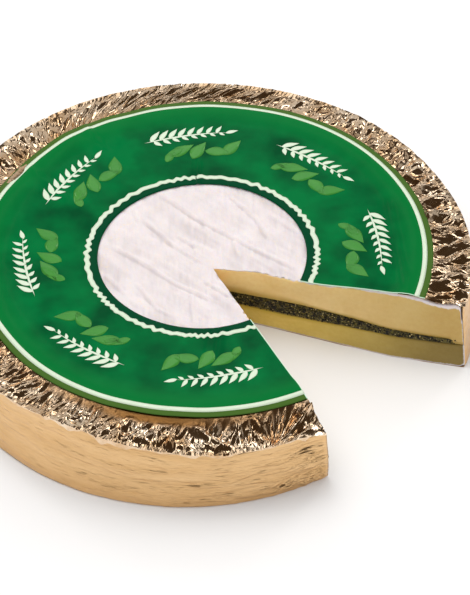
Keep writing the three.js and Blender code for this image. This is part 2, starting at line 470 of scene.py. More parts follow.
def paste_material(name, light, dark, stain, rind, outer_shade):
    """Cheese paste with its rind where the attribute rind is above 0."""
    finish = Finish(name, 0.55, Subsurface_Weight=0.25, Subsurface_Scale=0.003,
                    Subsurface_Radius=(1.0, 0.6, 0.3), Specular_IOR_Level=0.4)
    where = finish.coordinates()
    paste = finish.group(MOTTLE, where, Light=light, Dark=dark, Patches=55.0, Grain=500.0, Contrast=3.0)
    felt = finish.group(MOTTLE, where, Light=rind, Dark=srgb(209, 199, 199), Patches=120.0, Grain=1500.0,
                        Contrast=1.6)
    # Painted shade: the rind is darkened towards srgb(200, 190, 190) in the hollows of its creases.
    crease_shaded = finish.mix(finish.ramp(finish.attribute("hollow"), 0.2, 1.3), felt, srgb(200, 190, 190))
    ragged = finish.math("MULTIPLY_ADD", finish.noise(where, 900.0, 3.0), 0.9, -0.45)
    mask = finish.ramp(finish.math("ADD", finish.attribute("rind"), ragged), -0.3, 0.4)
    # Painted shade: each paste is multiplied by its outer shade colour, more towards the rind end of the cut
    # walls.
    outer = finish.ramp(finish.attribute("radius"), 25.0, 130.0)
    herb_stain = finish.attribute("stain")
    stained = finish.mix(finish.ramp(herb_stain, 0.0, 1.0), paste, stain)
    # A dark brown band right under the herb layer: partly seeped oil, partly painted shade under the layer.
    seeped_and_shaded = finish.math("MULTIPLY", finish.ramp(herb_stain, 0.82, 1.0), 0.6)
    stained = finish.mix(seeped_and_shaded, stained, srgb(112, 88, 30))
    outer_shaded = finish.blend("MULTIPLY", outer, stained, outer_shade)
    relief = finish.group(RELIEF, where, Coarse=260.0, Fine=1300.0, Strength=0.45, Depth=0.0005)
    threads = finish.noise(finish.coordinates((1.0, 0.08, 0.08)), 750.0, 1.0)
    ribs = finish.bump(threads, finish.math("MULTIPLY", mask, 0.6), 0.0006, Normal=relief)
    return finish.surface(Base_Color=finish.mix(mask, outer_shaded, crease_shaded), Normal=ribs,
                          Roughness=finish.math("MULTIPLY_ADD", mask, 0.35, 0.5))


def herb_material(name, light, dark, patches):
    finish = Finish(name, 0.45, Specular_IOR_Level=0.3)
    where = finish.coordinates()
    colour = finish.group(MOTTLE, where, Light=light, Dark=dark, Patches=patches, Grain=1300.0, Contrast=9.0)
    relief = finish.group(RELIEF, where, Coarse=500.0, Fine=1600.0, Strength=0.8, Depth=0.0008)
    return finish.surface(Base_Color=colour, Normal=relief)


def side_foil_material():
    """Gold foil drawn smooth over the side, with painted shade darker at its foot, and fine wrinkles that run
    round it.
    """
    finish = Finish("side foil", 0.3, Metallic=1.0)
    along = finish.coordinates((1.0, 7.0, 1.0), source="UV")
    tone = finish.group(MOTTLE, along, Light=srgb(239, 201, 150), Dark=srgb(221, 179, 124), Patches=28.0,
                        Grain=260.0, Contrast=2.2)
    # Painted shade: the foil is multiplied darker towards the foot of the side.
    low = finish.ramp(finish.attribute("height"), 17.0, 0.0)
    shaded = finish.blend("MULTIPLY", low, tone, (0.95, 0.91, 0.85, 1.0))
    wrinkles = finish.bump(finish.noise(along, 130.0, 4.0), 0.7, 0.0005)
    return finish.surface(Base_Color=shaded, Normal=wrinkles)


def rim_foil_material():
    """The same foil gathered over the rim: sharp little ridges, with a satin band beside the label that is
    painted a darker gold as shade.
    """
    finish = Finish("rim foil", 0.16, Metallic=1.0)
    tone = finish.group(MOTTLE, finish.coordinates(), Light=srgb(250, 229, 202), Dark=srgb(218, 178, 132),
                        Patches=70.0, Grain=500.0, Contrast=3.0)
    satin_and_shade = finish.attribute("satin_and_shade")
    outward = finish.math("MULTIPLY", finish.attribute("outward"), 0.3)
    along = finish.attribute("along")
    pleats = finish.add("ShaderNodeCombineXYZ", {"X": along, "Y": outward}).outputs["Vector"]
    relief = finish.group(RELIEF, pleats, Coarse=0.3, Fine=1.0, Strength=0.14, Depth=0.001)
    cells = finish.add("ShaderNodeTexVoronoi", {"Vector": pleats, "Scale": 0.8}).outputs["Distance"]
    # Painted shade: the satin band beside the label takes a darker, deeper gold for the shade under the
    # label's edge.
    return finish.surface(Base_Color=finish.mix(satin_and_shade, tone, srgb(204, 148, 84)),
                          Roughness=finish.math("MULTIPLY_ADD", satin_and_shade, 0.3, 0.16),
                          Normal=finish.bump(cells, 0.35, 0.0002, Normal=relief))


def label_material():
    """Glossy green print: an olive border outside the rim line, a darker band at the hole, pale cut edges
    painted as a highlight.
    """
    finish = Finish("label print", 0.24, Specular_IOR_Level=0.03)
    where = finish.coordinates()
    field = finish.group(MOTTLE, where, Light=srgb(0, 106, 52), Dark=srgb(2, 70, 36), Patches=42.0,
                         Grain=90.0, Contrast=3.6)
    radius = finish.attribute("radius")
    lighter = finish.mix(finish.ramp(radius, 88.0, 107.0), field, srgb(8, 108, 48))
    border = finish.mix(finish.ramp(radius, 107.8, 108.0), lighter, srgb(68, 98, 40))
    band = finish.mix(finish.ramp(finish.attribute("window"), 4.8, 5.1), srgb(2, 64, 37), border)
    # Painted highlight: a pale mint strip along the film's edges at the cut walls.
    edge = finish.mix(finish.ramp(finish.attribute("edge"), 0.25, 0.5), srgb(208, 240, 214), band)
    relief = finish.group(RELIEF, where, Coarse=30.0, Fine=120.0, Strength=0.15, Depth=0.002)
    return finish.surface(Base_Color=edge, Normal=relief)


def ink_material(name, light, dark):
    finish = Finish(name, 0.25, Specular_IOR_Level=0.4)
    return finish.surface(Base_Color=finish.group(
        MOTTLE, finish.coordinates(), Light=light, Dark=dark, Patches=120.0, Grain=900.0, Contrast=1.5))


# Food.


def wall_push(distance, height, low, high, seed):
    """How far a cut wall stands out: the paste bulges a little, drags in the knife's path and rounds off."""
    middle = np.clip((height - low) / np.maximum(high - low, 0.1), 0.0, 1.0)
    bulge = 0.35 * np.sin(math.pi * middle)
    drag = 0.16 * layered_noise(distance / 22.0, height / 3.0, seed)
    smear = 0.1 * layered_noise(distance / 4.0, height / 1.5, seed + 5)
    return (bulge + drag + smear) * smoothstep(0.0, 3.0, distance)


def sector_body(name, distances, levels, columns, low_at, high_at, side_at, push_at, attributes_at):
    """A closed body between two heights, from the cut's tip out to a side, with both cut walls.

    distances are shares of the way to the side, levels are shares of the way up.
    """
    turns = np.linspace(RIGHT_WALL, FRONT_WALL, columns)
    shares = np.asarray(distances)
    rise = np.asarray(levels)

    def surface(turn, share, level):
        turn, share, level = np.broadcast_arrays(turn, share, level)
        outer = side_at(turn, level)
        distance = share * outer
        radius, angle = about_axis(turn, distance)
        low = low_at(radius, angle)
        high = high_at(radius, angle)
        return turn, distance, low + (high - low) * level, low, high

    points, faces, values = [], [], []

    def add_grid(turn, share, level, wall=0):
        turn, distance, height, low, high = surface(turn, share, level)
        spots = place(turn, distance, height)
        push = push_at(distance, height, low, high)[..., None]
        to_right = np.array([math.sin(RIGHT_WALL), -math.cos(RIGHT_WALL), 0.0])
        to_front = np.array([-math.sin(FRONT_WALL), math.cos(FRONT_WALL), 0.0])
        if wall == 1:
            spots = spots + push * to_right
        elif wall == 2:
            spots = spots + push * to_front
        else:
            spots[0] += push[0] * to_right
            spots[-1] += push[-1] * to_front
        rows, cols = spots.shape[:2]
        faces.extend(grid_faces(rows, cols, sum(len(p) for p in points)))
        points.append(spots.reshape(-1, 3))
        rind, stain = attributes_at(turn, distance, height, low, high)
        radius, _ = about_axis(turn, distance)
        values.append(np.stack([rind.ravel(), stain.ravel(), radius.ravel()]))

    add_grid(turns[:, None], shares[None, :], np.array([[0.0]]))
    add_grid(turns[:, None], shares[None, :], np.array([[1.0]]))
    add_grid(turns[:, None], np.array([[1.0]]), rise[None, :])
    add_grid(np.array([[RIGHT_WALL]]), shares[:, None], rise[None, :], wall=1)
    add_grid(np.array([[FRONT_WALL]]), shares[:, None], rise[None, :], wall=2)
    rind, stain, radius = np.concatenate(values, axis=1)
    attributes = {"rind": rind, "stain": stain, "radius": radius}
    return new_piece(name, np.concatenate(points), faces, attributes, merge=0.02)


def paste_side(turn, height):
    """Distance from the tip to the food's side, which touches the foil only at the cut."""
    _, angle = about_axis(turn, reach(turn, SHOULDER_RADIUS))
    from_wall = np.minimum(turn - RIGHT_WALL, FRONT_WALL - turn) * SHOULDER_RADIUS
    inset = PASTE_INSET + 1.2 * smoothstep(0.0, 3.5, from_wall)
    return reach(turn, wrapped_radius(height, angle) - inset)


def lower_paste():
    shares = np.concatenate([np.linspace(0.0, 0.94, 110), np.linspace(0.95, 1.0, 8)])
    levels = np.linspace(0.0, 1.0, 22)

    def low_at(radius, angle):
        return 0.2 + 1.4 * smoothstep(128.5, 131.5, radius)

    def high_at(radius, angle):
        return layer_bottom(radius, angle) - 0.1

    def push_at(distance, height, low, high):
        edge = 0.1 * (1.0 - smoothstep(0.0, 0.8, height - low))
        return wall_push(distance, height, low, high, 31) - edge

    def rind_at(turn, distance, height, low, high):
        radius, angle = about_axis(turn, distance)
        below = 0.75 + 0.3 * layered_noise(distance / 6.0, turn * 0.0, 71) - (height - low)
        aside = 0.6 - (paste_side(turn, height) - distance)
        near_tip = 1.0 - smoothstep(20.0, 70.0, distance)
        soaked = 1.8 + 3.5 * near_tip + 1.1 * layered_noise(distance / 9.0, turn * 0.0, 83, 2)
        return np.maximum(below, aside), 1.0 - smoothstep(0.2, soaked, high - height)

    return sector_body("lower_paste_cut", shares, levels, 200, low_at, high_at,
                       lambda turn, level: paste_side(turn, 0.2 + 13.0 * level), push_at, rind_at)


def crease_height(x, y, route, width, depth):
    """A crease along a route: a groove with a soft ridge on its upper side."""
    best = np.full(np.shape(x), 1e9)
    side = np.zeros(np.shape(x))
    fade = np.zeros(np.shape(x))
    lengths = [math.dist(a, b) for a, b in zip(route, route[1:])]
    walked = 0.0
    for (ax, ay), (bx, by), length in zip(route, route[1:], lengths):
        ux, uy = (bx - ax) / length, (by - ay) / length
        along = np.clip((x - ax) * ux + (y - ay) * uy, 0.0, length)
        dx, dy = x - ax - ux * along, y - ay - uy * along
        away = np.hypot(dx, dy)
        nearer = away < best
        best = np.where(nearer, away, best)
        side = np.where(nearer, dx * -uy + dy * ux, side)
        fade = np.where(nearer, (walked + along) / sum(lengths), fade)
        walked += length
    ends = smoothstep(0.0, 0.15, fade) * (1.0 - smoothstep(0.85, 1.0, fade))
    groove = -np.exp(-(side / width) ** 2) + 0.8 * np.exp(-((side - 1.6 * width) / width) ** 2)
    return depth * ends * groove * (best < 5.0 * width)


RIND_CREASES = [
    [(-20.0, 41.8), (-4.6, 25.3), (17.9, 6.6), (48.0, -16.4)],
    [(-29.3, 24.9), (-12.5, 2.9), (0.8, -9.6)],
    [(-47.2, 7.8), (-31.8, -4.1), (-12.7, -22.3), (8.0, -36.9)],
    [(16.9, 34.5), (26.0, 22.0), (31.8, 6.7)],
]
FINE_CREASES = [
    [(-2.6, 30.1), (1.6, 16.3)],
    [(13.1, 39.6), (21.2, 29.1)],
    [(-34.2, 32.8), (-30.3, 19.0)],
    [(30.4, 25.9), (48.3, 10.2)],
    [(-13.4, 12.6), (-2.0, 2.3)],
    [(13.6, 9.4), (17.2, -4.1)],
    [(-7.1, -26.8), (-5.4, -48.8)],
    [(-33.2, -18.9), (-22.4, -38.6), (-13.9, -45.0)],
    [(-0.3, -20.2), (12.8, -31.7)],
    [(-5.7, 9.5), (-3.0, -4.7)],
    [(-48.1, -12.7), (-36.6, -29.8)],
]


def rind_relief(x, y):
    """Creases left by the cloth the wheel drained on, with fine streaks along and across them."""
    total = 0.0
    for route in RIND_CREASES:
        total = total + crease_height(x, y, route, 1.0, 0.58)
    for route in FINE_CREASES:
        total = total + crease_height(x, y, route, 0.9, 0.42)
    slant = math.radians(-43.0)
    along = x * math.cos(slant) + y * math.sin(slant)
    across = -x * math.sin(slant) + y * math.cos(slant)
    streaks = 0.5 * layered_noise(along / 20.0, across / 3.2, 11)
    ribs = 0.3 * layered_noise(x / 1.5, y / 8.0, 17, 2)
    swell = 0.4 * layered_noise(x / 17.0, y / 17.0, 23)
    return total + streaks + ribs + swell


def from_window(x, y):
    """How far a point lies outside the label's window."""
    return np.hypot(x, y + WINDOW_SHIFT) - LABEL_HOLE


def upper_paste():
    shares = np.concatenate([
        np.linspace(0.0, 0.43, 78), np.linspace(0.445, 0.93, 38), np.linspace(0.935, 1.0, 12)])
    levels = np.linspace(0.0, 1.0, 30)

    def low_at(radius, angle):
        lip = smoothstep(LAYER_RADIUS, LAYER_RADIUS + 0.5, radius)
        return (layer_top(radius, angle) + 0.1) * (1 - lip) + (layer_bottom(radius, angle) + 0.1) * lip

    def high_at(radius, angle):
        return rind_top(radius, angle)

    def push_at(distance, height, low, high):
        torn = 0.3 + 1.1 * np.maximum(layered_noise(distance / 1.7, 0.0 * distance, 43, 2), 0.0)
        edge = torn * (1.0 - smoothstep(0.0, 1.1, high - height)) * smoothstep(1.0, 6.0, distance)
        return wall_push(distance, height, low, high, 41) - edge

    def rind_at(turn, distance, height, low, high):
        radius, angle = about_axis(turn, distance)
        thick = 0.4 + 0.9 * smoothstep(70.0, 108.0, radius)
        thick = thick + 0.5 * layered_noise(distance / 3.5, turn * 0.0, 53) * smoothstep(20.0, 60.0, radius)
        below = thick - (high - height)
        aside = 0.5 - (paste_side(turn, height) - distance)
        near_tip = 1.0 - smoothstep(15.0, 60.0, distance)
        soaked = 3.0 + 5.0 * near_tip + 1.6 * layered_noise(distance / 12.0, turn * 0.0, 89, 2)
        return np.maximum(below, aside), 0.85 * (1.0 - smoothstep(0.0, soaked, height - low))

    piece = sector_body("upper_paste_cut", shares, levels, 300, low_at, high_at,
                        lambda turn, level: paste_side(turn, 16.0 + 14.0 * level), push_at, rind_at)
    points = points_of(piece) / MM
    radius = np.hypot(points[:, 0], points[:, 1])
    on_top = smoothstep(36.5, 37.6, points[:, 2]) * (1.0 - smoothstep(60.0, 70.0, radius))
    relief = on_top * (rind_relief(points[:, 0], points[:, 1]) - 0.1)
    under_film = smoothstep(-2.0, 0.5, from_window(points[:, 0], points[:, 1]))
    relief = relief * (1.0 - under_film) + np.minimum(relief, 0.0) * under_film
    points[:, 2] += relief
    # hollow is how deep each crease's hollow is; the paste material paints shade into it.
    store(piece.data, hollow=np.clip(0.35 - relief, 0.0, 1.5) * (on_top > 0.5))
    move_points(piece, points)
    return piece


def herb_filling():
    """The herb layer. It is rough where it is cut, and crumbs of it hang over the paste below."""
    shares = np.linspace(0.0, 1.0, 260)
    levels = np.linspace(0.0, 1.0, 16)

    def low_at(radius, angle):
        return layer_bottom(radius, angle) - 0.1

    def high_at(radius, angle):
        return layer_top(radius, angle) + 0.1

    def push_at(distance, height, low, high):
        rough = 0.6 * layered_noise(distance / 1.6, height / 1.3, 61, 3)
        lumps = 0.3 * layered_noise(distance / 5.0, height / 3.0, 67, 2)
        return (0.1 + 0.6 * rough + 0.5 * lumps) * smoothstep(0.0, 2.0, distance)

    return sector_body("herb_filling", shares, levels, 60, low_at, high_at,
                       lambda turn, level: reach(turn, LAYER_RADIUS) + 0.0 * level, push_at,
                       lambda turn, distance, height, low, high: (0.0 * distance, 0.0 * distance))


# Foil.


CREST_RADIUS = 129.7
CREST_HEIGHT = 35.9


def crest_height(angle):
    """Height of the fold where the side's foil turns in over the rim: a hump, a sag and a dip at the cut."""
    hump = 2.4 * around(angle, -120.0, 9.0)
    sag = 3.8 * around(angle, -86.0, 16.0)
    dip = 4.4 * around(angle, -63.0, 5.0)
    return CREST_HEIGHT + hump - sag - dip - SETTLED_DOWN * settling(angle)


def side_wrinkles(arc, height):
    """Relief of the side's foil: wrinkles that run round the wheel, drawn slightly up and down."""
    drift = 4.5 * layered_noise(arc / 48.0, height / 30.0, 101, 2)
    level = height + drift
    long_folds = 0.3 * layered_noise(arc / 26.0, level / 4.2, 103, 2)
    grain = 0.2 * layered_noise(arc / 9.0, level / 1.7, 107, 2)
    ridges = 1.0 - np.abs(layered_noise(arc / 30.0, level / 4.0, 109, 2)) * 8.0
    furrows = 1.0 - np.abs(layered_noise(arc / 24.0, level / 3.0, 127, 2)) * 9.0
    return long_folds + grain + 0.3 * np.maximum(ridges, 0.0) - 0.1 * np.maximum(furrows, 0.0)


def side_creases(arc, height, length):
    """Sharper creases: seeded ones all round, and a fan of them beside the front cut."""
    draw = np.random.default_rng(4540)
    total = np.zeros(np.shape(arc))
    for _ in range(260):
        start = draw.uniform(0.0, length)
        level = draw.uniform(2.0, 34.0)
        run = draw.uniform(5.0, 34.0)
        rise = draw.uniform(-0.3, 0.16) * run
        total = total + side_crease(arc, height, (start, level), (start + run, level + rise),
                                    draw.uniform(0.3, 0.8), draw.uniform(0.06, 0.22))
    for _ in range(60):
        start = length - 4.0 - 36.0 * draw.uniform() ** 1.3
        level = draw.uniform(1.5, 8.0)
        run = draw.uniform(3.0, 9.0)
        rise = draw.uniform(-0.4, 0.9) * run
        total = total + side_crease(arc, height, (start, level), (start + run, level + rise),
                                    draw.uniform(0.45, 0.8), draw.uniform(0.25, 0.6))
    for step in range(18):
        level = 1.2 + 1.9 * step
        run = draw.uniform(10.0, 34.0)
        begin = (length - run, level - draw.uniform(3.0, 9.0))
        total = total + side_crease(arc, height, begin, (length + 2.0, level + draw.uniform(-0.5, 1.5)),
                                    draw.uniform(0.35, 0.7), draw.uniform(0.3, 0.7))
    return total


def side_crease(arc, height, begin, end, width, depth):
    run, rise = end[0] - begin[0], end[1] - begin[1]
    part = np.clip((arc - begin[0]) / run, 0.0, 1.0)
    off = height - (begin[1] + rise * part)
    fade = np.sin(math.pi * part)
    return depth * fade * (np.exp(-(off / width) ** 2) - 0.7 * np.exp(-((off + 1.5 * width) / width) ** 2))


def arc_length(turn):
    return (turn - RIGHT_WALL) * SHOULDER_RADIUS


# Rows of the foil under the wheel: how far in from the foot of the side, and how high.
UNDER_ROWS = ((0.3, 0.5), (0.8, 0.12), (1.6, 0.0), (20.0, 0.0), (60.0, 0.0), (100.0, 0.0))


def foil_under(turn, foot_radius):
    """The foil from the foot of the side in under the wheel to the cut's tip."""
    rows = [place(turn, reach(turn, foot_radius) - inset, height) for inset, height in UNDER_ROWS]
    rows.append(place(turn, 0.0 * turn, 0.0))
    return np.concatenate(rows, axis=1)


def unroll(piece, uv):
    """Stores the place of each point on the unrolled foil."""
    layer = piece.data.uv_layers.new(name="UVMap")
    corner_points = np.empty(len(piece.data.loops), np.int32)
    piece.data.loops.foreach_get("vertex_index", corner_points)
    layer.data.foreach_set("uv", uv[corner_points].astype(np.float32).ravel())


def foil_side():
    """The foil from the crest of the rim down the side and across under the wheel."""
    columns, side_rows = 600, 68
    turn = np.linspace(RIGHT_WALL, FRONT_WALL, columns)[:, None]
    part = np.linspace(0.0, 1.0, side_rows)[None, :]
    _, angle = about_axis(turn, reach(turn, SHOULDER_RADIUS))
    top = crest_height(angle) + 0.5 * layered_noise(arc_length(turn) / 3.2, 0.0 * turn, 113, 3)
    height = top + (1.1 - top) * part
    inward = (1.0 - smoothstep(0.0, 0.03, part)) * (SHOULDER_RADIUS - CREST_RADIUS)
    radius = wrapped_radius(height, angle) - inward
    arc = arc_length(turn) + 0.0 * part
    level = height * CREST_HEIGHT / top
    edge_free = smoothstep(-0.02, 0.04, part) * smoothstep(0.0, 2.0, height)
    relief = side_wrinkles(arc, level) + side_creases(arc, level, arc_length(FRONT_WALL))
    from_wall = np.minimum(arc, arc_length(FRONT_WALL) - arc)
    radius = radius + relief * edge_free * smoothstep(0.0, 3.0, from_wall)
    radius = radius - 0.4 * np.exp(-(from_wall / 1.6) ** 2)
    side = place(turn, reach(turn, radius), height)
    under = foil_under(turn, radius[:, -1:])
    spots = np.concatenate([side, under], axis=1)
    rows = spots.shape[1]
    uv = np.zeros((columns, rows, 2))
    uv[:, :side_rows] = np.stack([arc * MM, level * MM], axis=-1)
    uv[:, side_rows:, 0] = arc[:, :1] * MM
    piece = new_piece("foil_side", spots.reshape(-1, 3), grid_faces(columns, rows),
                      {"height": spots[..., 2].ravel()})
    unroll(piece, uv.reshape(-1, 2))
    return thicken(piece, SIDE_FOIL)


# The rim's foil starts under the label at the inner radius and shows from the visible one.
RIM_INNER = 98.0
RIM_VISIBLE = 109.5
RIM_PROFILE = np.array([
    [98.0, 38.4], [106.0, 38.5], [110.0, 37.8], [113.5, 36.5], [118.0, 36.0],
    [123.0, 36.3], [126.0, 36.8], [128.0, 36.2], [129.2, 35.0]])
RIM_HIDDEN = RIM_VISIBLE - RIM_INNER
RIM_WIDTH = RIM_PROFILE[-1, 0] - RIM_INNER


def front_corner(angle):
    """How much of the coarse, long folds beside the front cut a spot of the rim takes."""
    return around(angle, -71.0, 9.0)


def rim_base(radius, angle):
    flat = np.interp(radius, RIM_PROFILE[:, 0], RIM_PROFILE[:, 1])
    inner = flat - slump(radius, flat, angle) - SETTLED_DOWN * settled(radius, angle)
    hollow = smoothstep(117.0, 124.0, radius) * (1.0 - smoothstep(125.5, 129.0, radius))
    inner = inner - 1.4 * hollow * front_corner(angle)
    edge = smoothstep(124.5, RIM_PROFILE[-1, 0], radius)
    return inner * (1.0 - edge) + (crest_height(angle) - 0.2) * edge


# The rim is laid out flat along an arc of this radius, with some to spare that is trimmed off at the cut.
RIM_ARC = 120.0
RIM_SPARE = 24.0
RIM_LENGTH = (FRONT_WALL - RIGHT_WALL) * RIM_ARC + 2.0 * RIM_SPARE


def rim_turn(x):
    return RIGHT_WALL + (np.asarray(x) - RIM_SPARE) / RIM_ARC


def rim_slant(angle):
    """How much the pleats of the rim lean round the wheel for each millimetre outwards."""
    beside_cut = 1.4 * around(angle, -66.0, 9.0)
    behind = 1.3 * around(angle, 103.0, 28.0)
    return -beside_cut - behind


def pleat_size(angle):
    beside_cut = 0.9 * around(angle, -70.0, 15.0)
    front = 0.3 * around(angle, -112.0, 26.0)
    right = 0.5 * around(angle, 10.0, 30.0)
    return 1.0 + beside_cut + front + right


# Pleats as drawn at random: how many, how long, their half width, how steep and how far out of line.
BROAD_PLEATS = {"count": 330, "run": (7.0, 15.0), "half": (1.7, 3.2), "steep": (0.35, 0.7), "loose": 0.3}
NARROW_PLEATS = {"count": 520, "run": (5.0, 15.0), "half": (0.6, 1.25), "steep": (0.55, 0.95), "loose": 0.35}

# The long folds beside the front cut, along the unrolled rim: the first, the last and their spacing.
LONG_FOLDS = (640.0, 676.0, 3.4)


def rim_pleats(family, draw):
    """The pleats before they are slanted: each a crest line with the half width and height of its fold."""
    pleats = []
    for _ in range(family["count"]):
        x = draw.uniform(-4.0, RIM_LENGTH + 4.0)
        angle = rim_turn(x)
        size = float(pleat_size(angle))
        kept = (7.0 * x) % 1.0 > 0.95 * float(front_corner(angle))
        stretch = 1.0 + 0.5 * float(around(angle, -140.0, 30.0))
        run = draw.uniform(*family["run"]) * size * stretch
        middle = draw.uniform(RIM_HIDDEN + 1.5, RIM_WIDTH - 0.5)
        loose = family["loose"] + 0.4 * float(around(angle, -90.0, 26.0))
        sway = 0.5 * run * draw.normal(0.0, loose)
        half = draw.uniform(*family["half"]) * size
        lift = half * draw.uniform(*family["steep"])
        if kept:
            pleats.append((x - sway, middle - 0.5 * run, x + sway, middle + 0.5 * run, half, lift))
    return pleats


def long_folds(draw):
    """The few long folds beside the front cut, from the label's edge out to the side."""
    folds = []
    for middle in np.arange(*LONG_FOLDS):
        x = middle + draw.uniform(-1.0, 1.0)
        bend = draw.uniform(-2.0, 2.0)
        begin = RIM_HIDDEN + draw.uniform(0.5, 5.0)
        end = RIM_WIDTH - draw.uniform(0.5, 4.0)
        folds.append((x - bend, begin, x + bend, end, 1.3, draw.uniform(1.0, 1.7)))
    return folds


def pleat_relief(x, y, pleats):
    """Height of the highest fold over each point: round at its crest, with a crease where two meet."""
    total = np.zeros(len(x))
    for ax, ay, bx, by, half, lift in pleats:
        near = np.nonzero(np.abs(x - 0.5 * (ax + bx)) < 0.5 * abs(bx - ax) + half)[0]
        run, rise = bx - ax, by - ay
        part = ((x[near] - ax) * run + (y[near] - ay) * rise) / (run * run + rise * rise)
        part = np.clip(part, 0.0, 1.0)
        away = np.hypot(x[near] - ax - part * run, y[near] - ay - part * rise)
        fold = lift * (0.5 + 0.5 * np.sin(math.pi * part)) * smoothstep(half, 0.0, away)
        total[near] = np.maximum(total[near], fold)
    return total


def rim_net(pleats, draw):
    """Points of the rim and the crest lines that its triangles have to keep."""
    spots = []
    creases = []
    for x in np.arange(0.0, RIM_LENGTH, 3.0):
        spots.extend([(x, 0.0), (x + 1.5, 5.0), (x, RIM_HIDDEN - 1.5)])
    for ax, ay, bx, by, _, _ in pleats:
        steps = max(3, int((by - ay) / 2.4))
        kept = []
        for part in np.linspace(0.0, 1.0, steps):
            x, y = ax + (bx - ax) * part, ay + (by - ay) * part
            if RIM_HIDDEN + 0.8 < y < RIM_WIDTH - 0.8:
                kept.append(len(spots))
                spots.append((x, y))
        creases.extend(zip(kept, kept[1:]))
    for x in np.arange(0.0, RIM_LENGTH, 1.6):
        for y in np.arange(RIM_HIDDEN, RIM_WIDTH - 1.0, 2.4):
            spots.append((x + draw.uniform(-0.7, 0.7), y + draw.uniform(0.0, 2.2)))
    for x in np.arange(0.0, RIM_LENGTH, 1.5):
        spots.extend([(x, RIM_WIDTH), (x + 0.7, RIM_WIDTH + 2.0)])
    return spots, creases


def rim_front(angle):
    """How much of the smoother, satin front a spot of the rim takes."""
    return around(angle, -102.0, 26.0)


def rim_lift(x, y, broad, narrow, corner):
    """How far the gathered foil stands up from its base."""
    angle = rim_turn(x)
    depth = 0.15 + (0.6 + 1.4 * noise(x / 14.0, 7.0, 133)) * around(angle, 22.0, 42.0)
    gathers = depth * np.sin(2.0 * math.pi * (x / 10.5 + 0.8 * noise(x / 21.0, 0.0, 131)))
    gathers = gathers * np.cos(0.25 * (y - RIM_HIDDEN - 9.0 + 4.0 * noise(x / 9.0, 0.0, 137)))
    start = RIM_HIDDEN + 3.5 * rim_front(angle)
    open_rim = smoothstep(start, start + 3.0, y)
    at_side = smoothstep(RIM_WIDTH - 3.0, RIM_WIDTH, y)
    share = 0.8 - 0.35 * around(angle, -100.0, 40.0)
    folds = pleat_relief(x, y, broad) + share * pleat_relief(x, y, narrow)
    folds = np.maximum(folds, pleat_relief(x, y, corner))
    return (gathers - 0.5 + folds) * open_rim * (1.0 - 0.85 * at_side) + 0.6 * at_side


def foil_rim():
    """The foil gathered over the rim: sharp-crested pleats, with a ragged fold over the side's top."""
    draw = np.random.default_rng(921)
    broad = rim_pleats(BROAD_PLEATS, draw)
    narrow = rim_pleats(NARROW_PLEATS, draw)
    corner = long_folds(np.random.default_rng(77))
    spots, creases = rim_net(broad + narrow + corner, draw)
    squeeze = 0.5
    flat = [Vector((x, squeeze * y)) for x, y in spots]
    verts, _, faces, _, _, _ = delaunay_2d_cdt(flat, creases, [], 0, 1e-4)
    corners = np.array([(v.x, v.y / squeeze) for v in verts])
    corners, triangles = split_facets(corners, [list(face) for face in faces])
    along, outward = corners.T
    lift = rim_lift(along, outward, broad, narrow, corner)
    pivot = RIM_HIDDEN + 8.0
    slanted = rim_slant(rim_turn(along)) * (np.minimum(outward, RIM_WIDTH) - pivot)
    x = along + slanted * smoothstep(0.0, 8.0, outward)
    turn = rim_turn(x)
    beyond = np.maximum(outward - RIM_WIDTH, 0.0)
    radius = RIM_INNER + outward - beyond
    _, angle = about_axis(turn, reach(turn, radius))
    drop = 0.5 * beyond * (0.2 + 2.4 * noise(x / 4.0, 0.0, 139) ** 2)
    drop = drop * (1.0 + 0.8 * around(angle, -115.0, 14.0))
    height = np.maximum(rim_base(radius, angle) + lift, rind_top(radius, angle) + 0.3) - drop
    stand_off = 0.3 + 0.3 * noise(x / 2.0, 3.0, 149)
    drawn = radius - SETTLED_IN * settled(radius, angle)
    radius = np.where(beyond > 0.0, wrapped_radius(height, angle) + stand_off, drawn)
    points = place(turn, reach(turn, radius), height)
    # The band beside the label is rougher, and painted darker as shade under the label's edge.
    satin_and_shade = (1.0 - smoothstep(113.5, 117.5, radius)) * (0.15 + 0.85 * rim_front(angle))
    piece = new_piece("foil_rim", points, triangles, {"satin_and_shade": satin_and_shade, "along": along, "outward": outward})
    trim_at_cut(piece, MM)
    thicken(piece, RIM_FOIL)
    piece.data.set_sharp_from_angle(angle=math.radians(48.0))
    return piece


def split_facets(points, triangles):
    """Cuts each triangle in four."""
    corners = np.array(triangles)
    edges = np.sort(np.concatenate([corners[:, [0, 1]], corners[:, [1, 2]], corners[:, [2, 0]]]), axis=1)
    unique, back = np.unique(edges, axis=0, return_inverse=True)
    middles = (points[unique[:, 0]] + points[unique[:, 1]]) / 2.0
    count = len(corners)
    ab = len(points) + back[:count]
    bc = len(points) + back[count:2 * count]
    ca = len(points) + back[2 * count:]
    a, b, c = corners.T
    split = np.concatenate([np.stack(t, axis=-1) for t in
                            ((a, ab, ca), (ab, b, bc), (ca, bc, c), (ab, bc, ca))])
    return np.concatenate([points, middles]), split.tolist()


# Label.


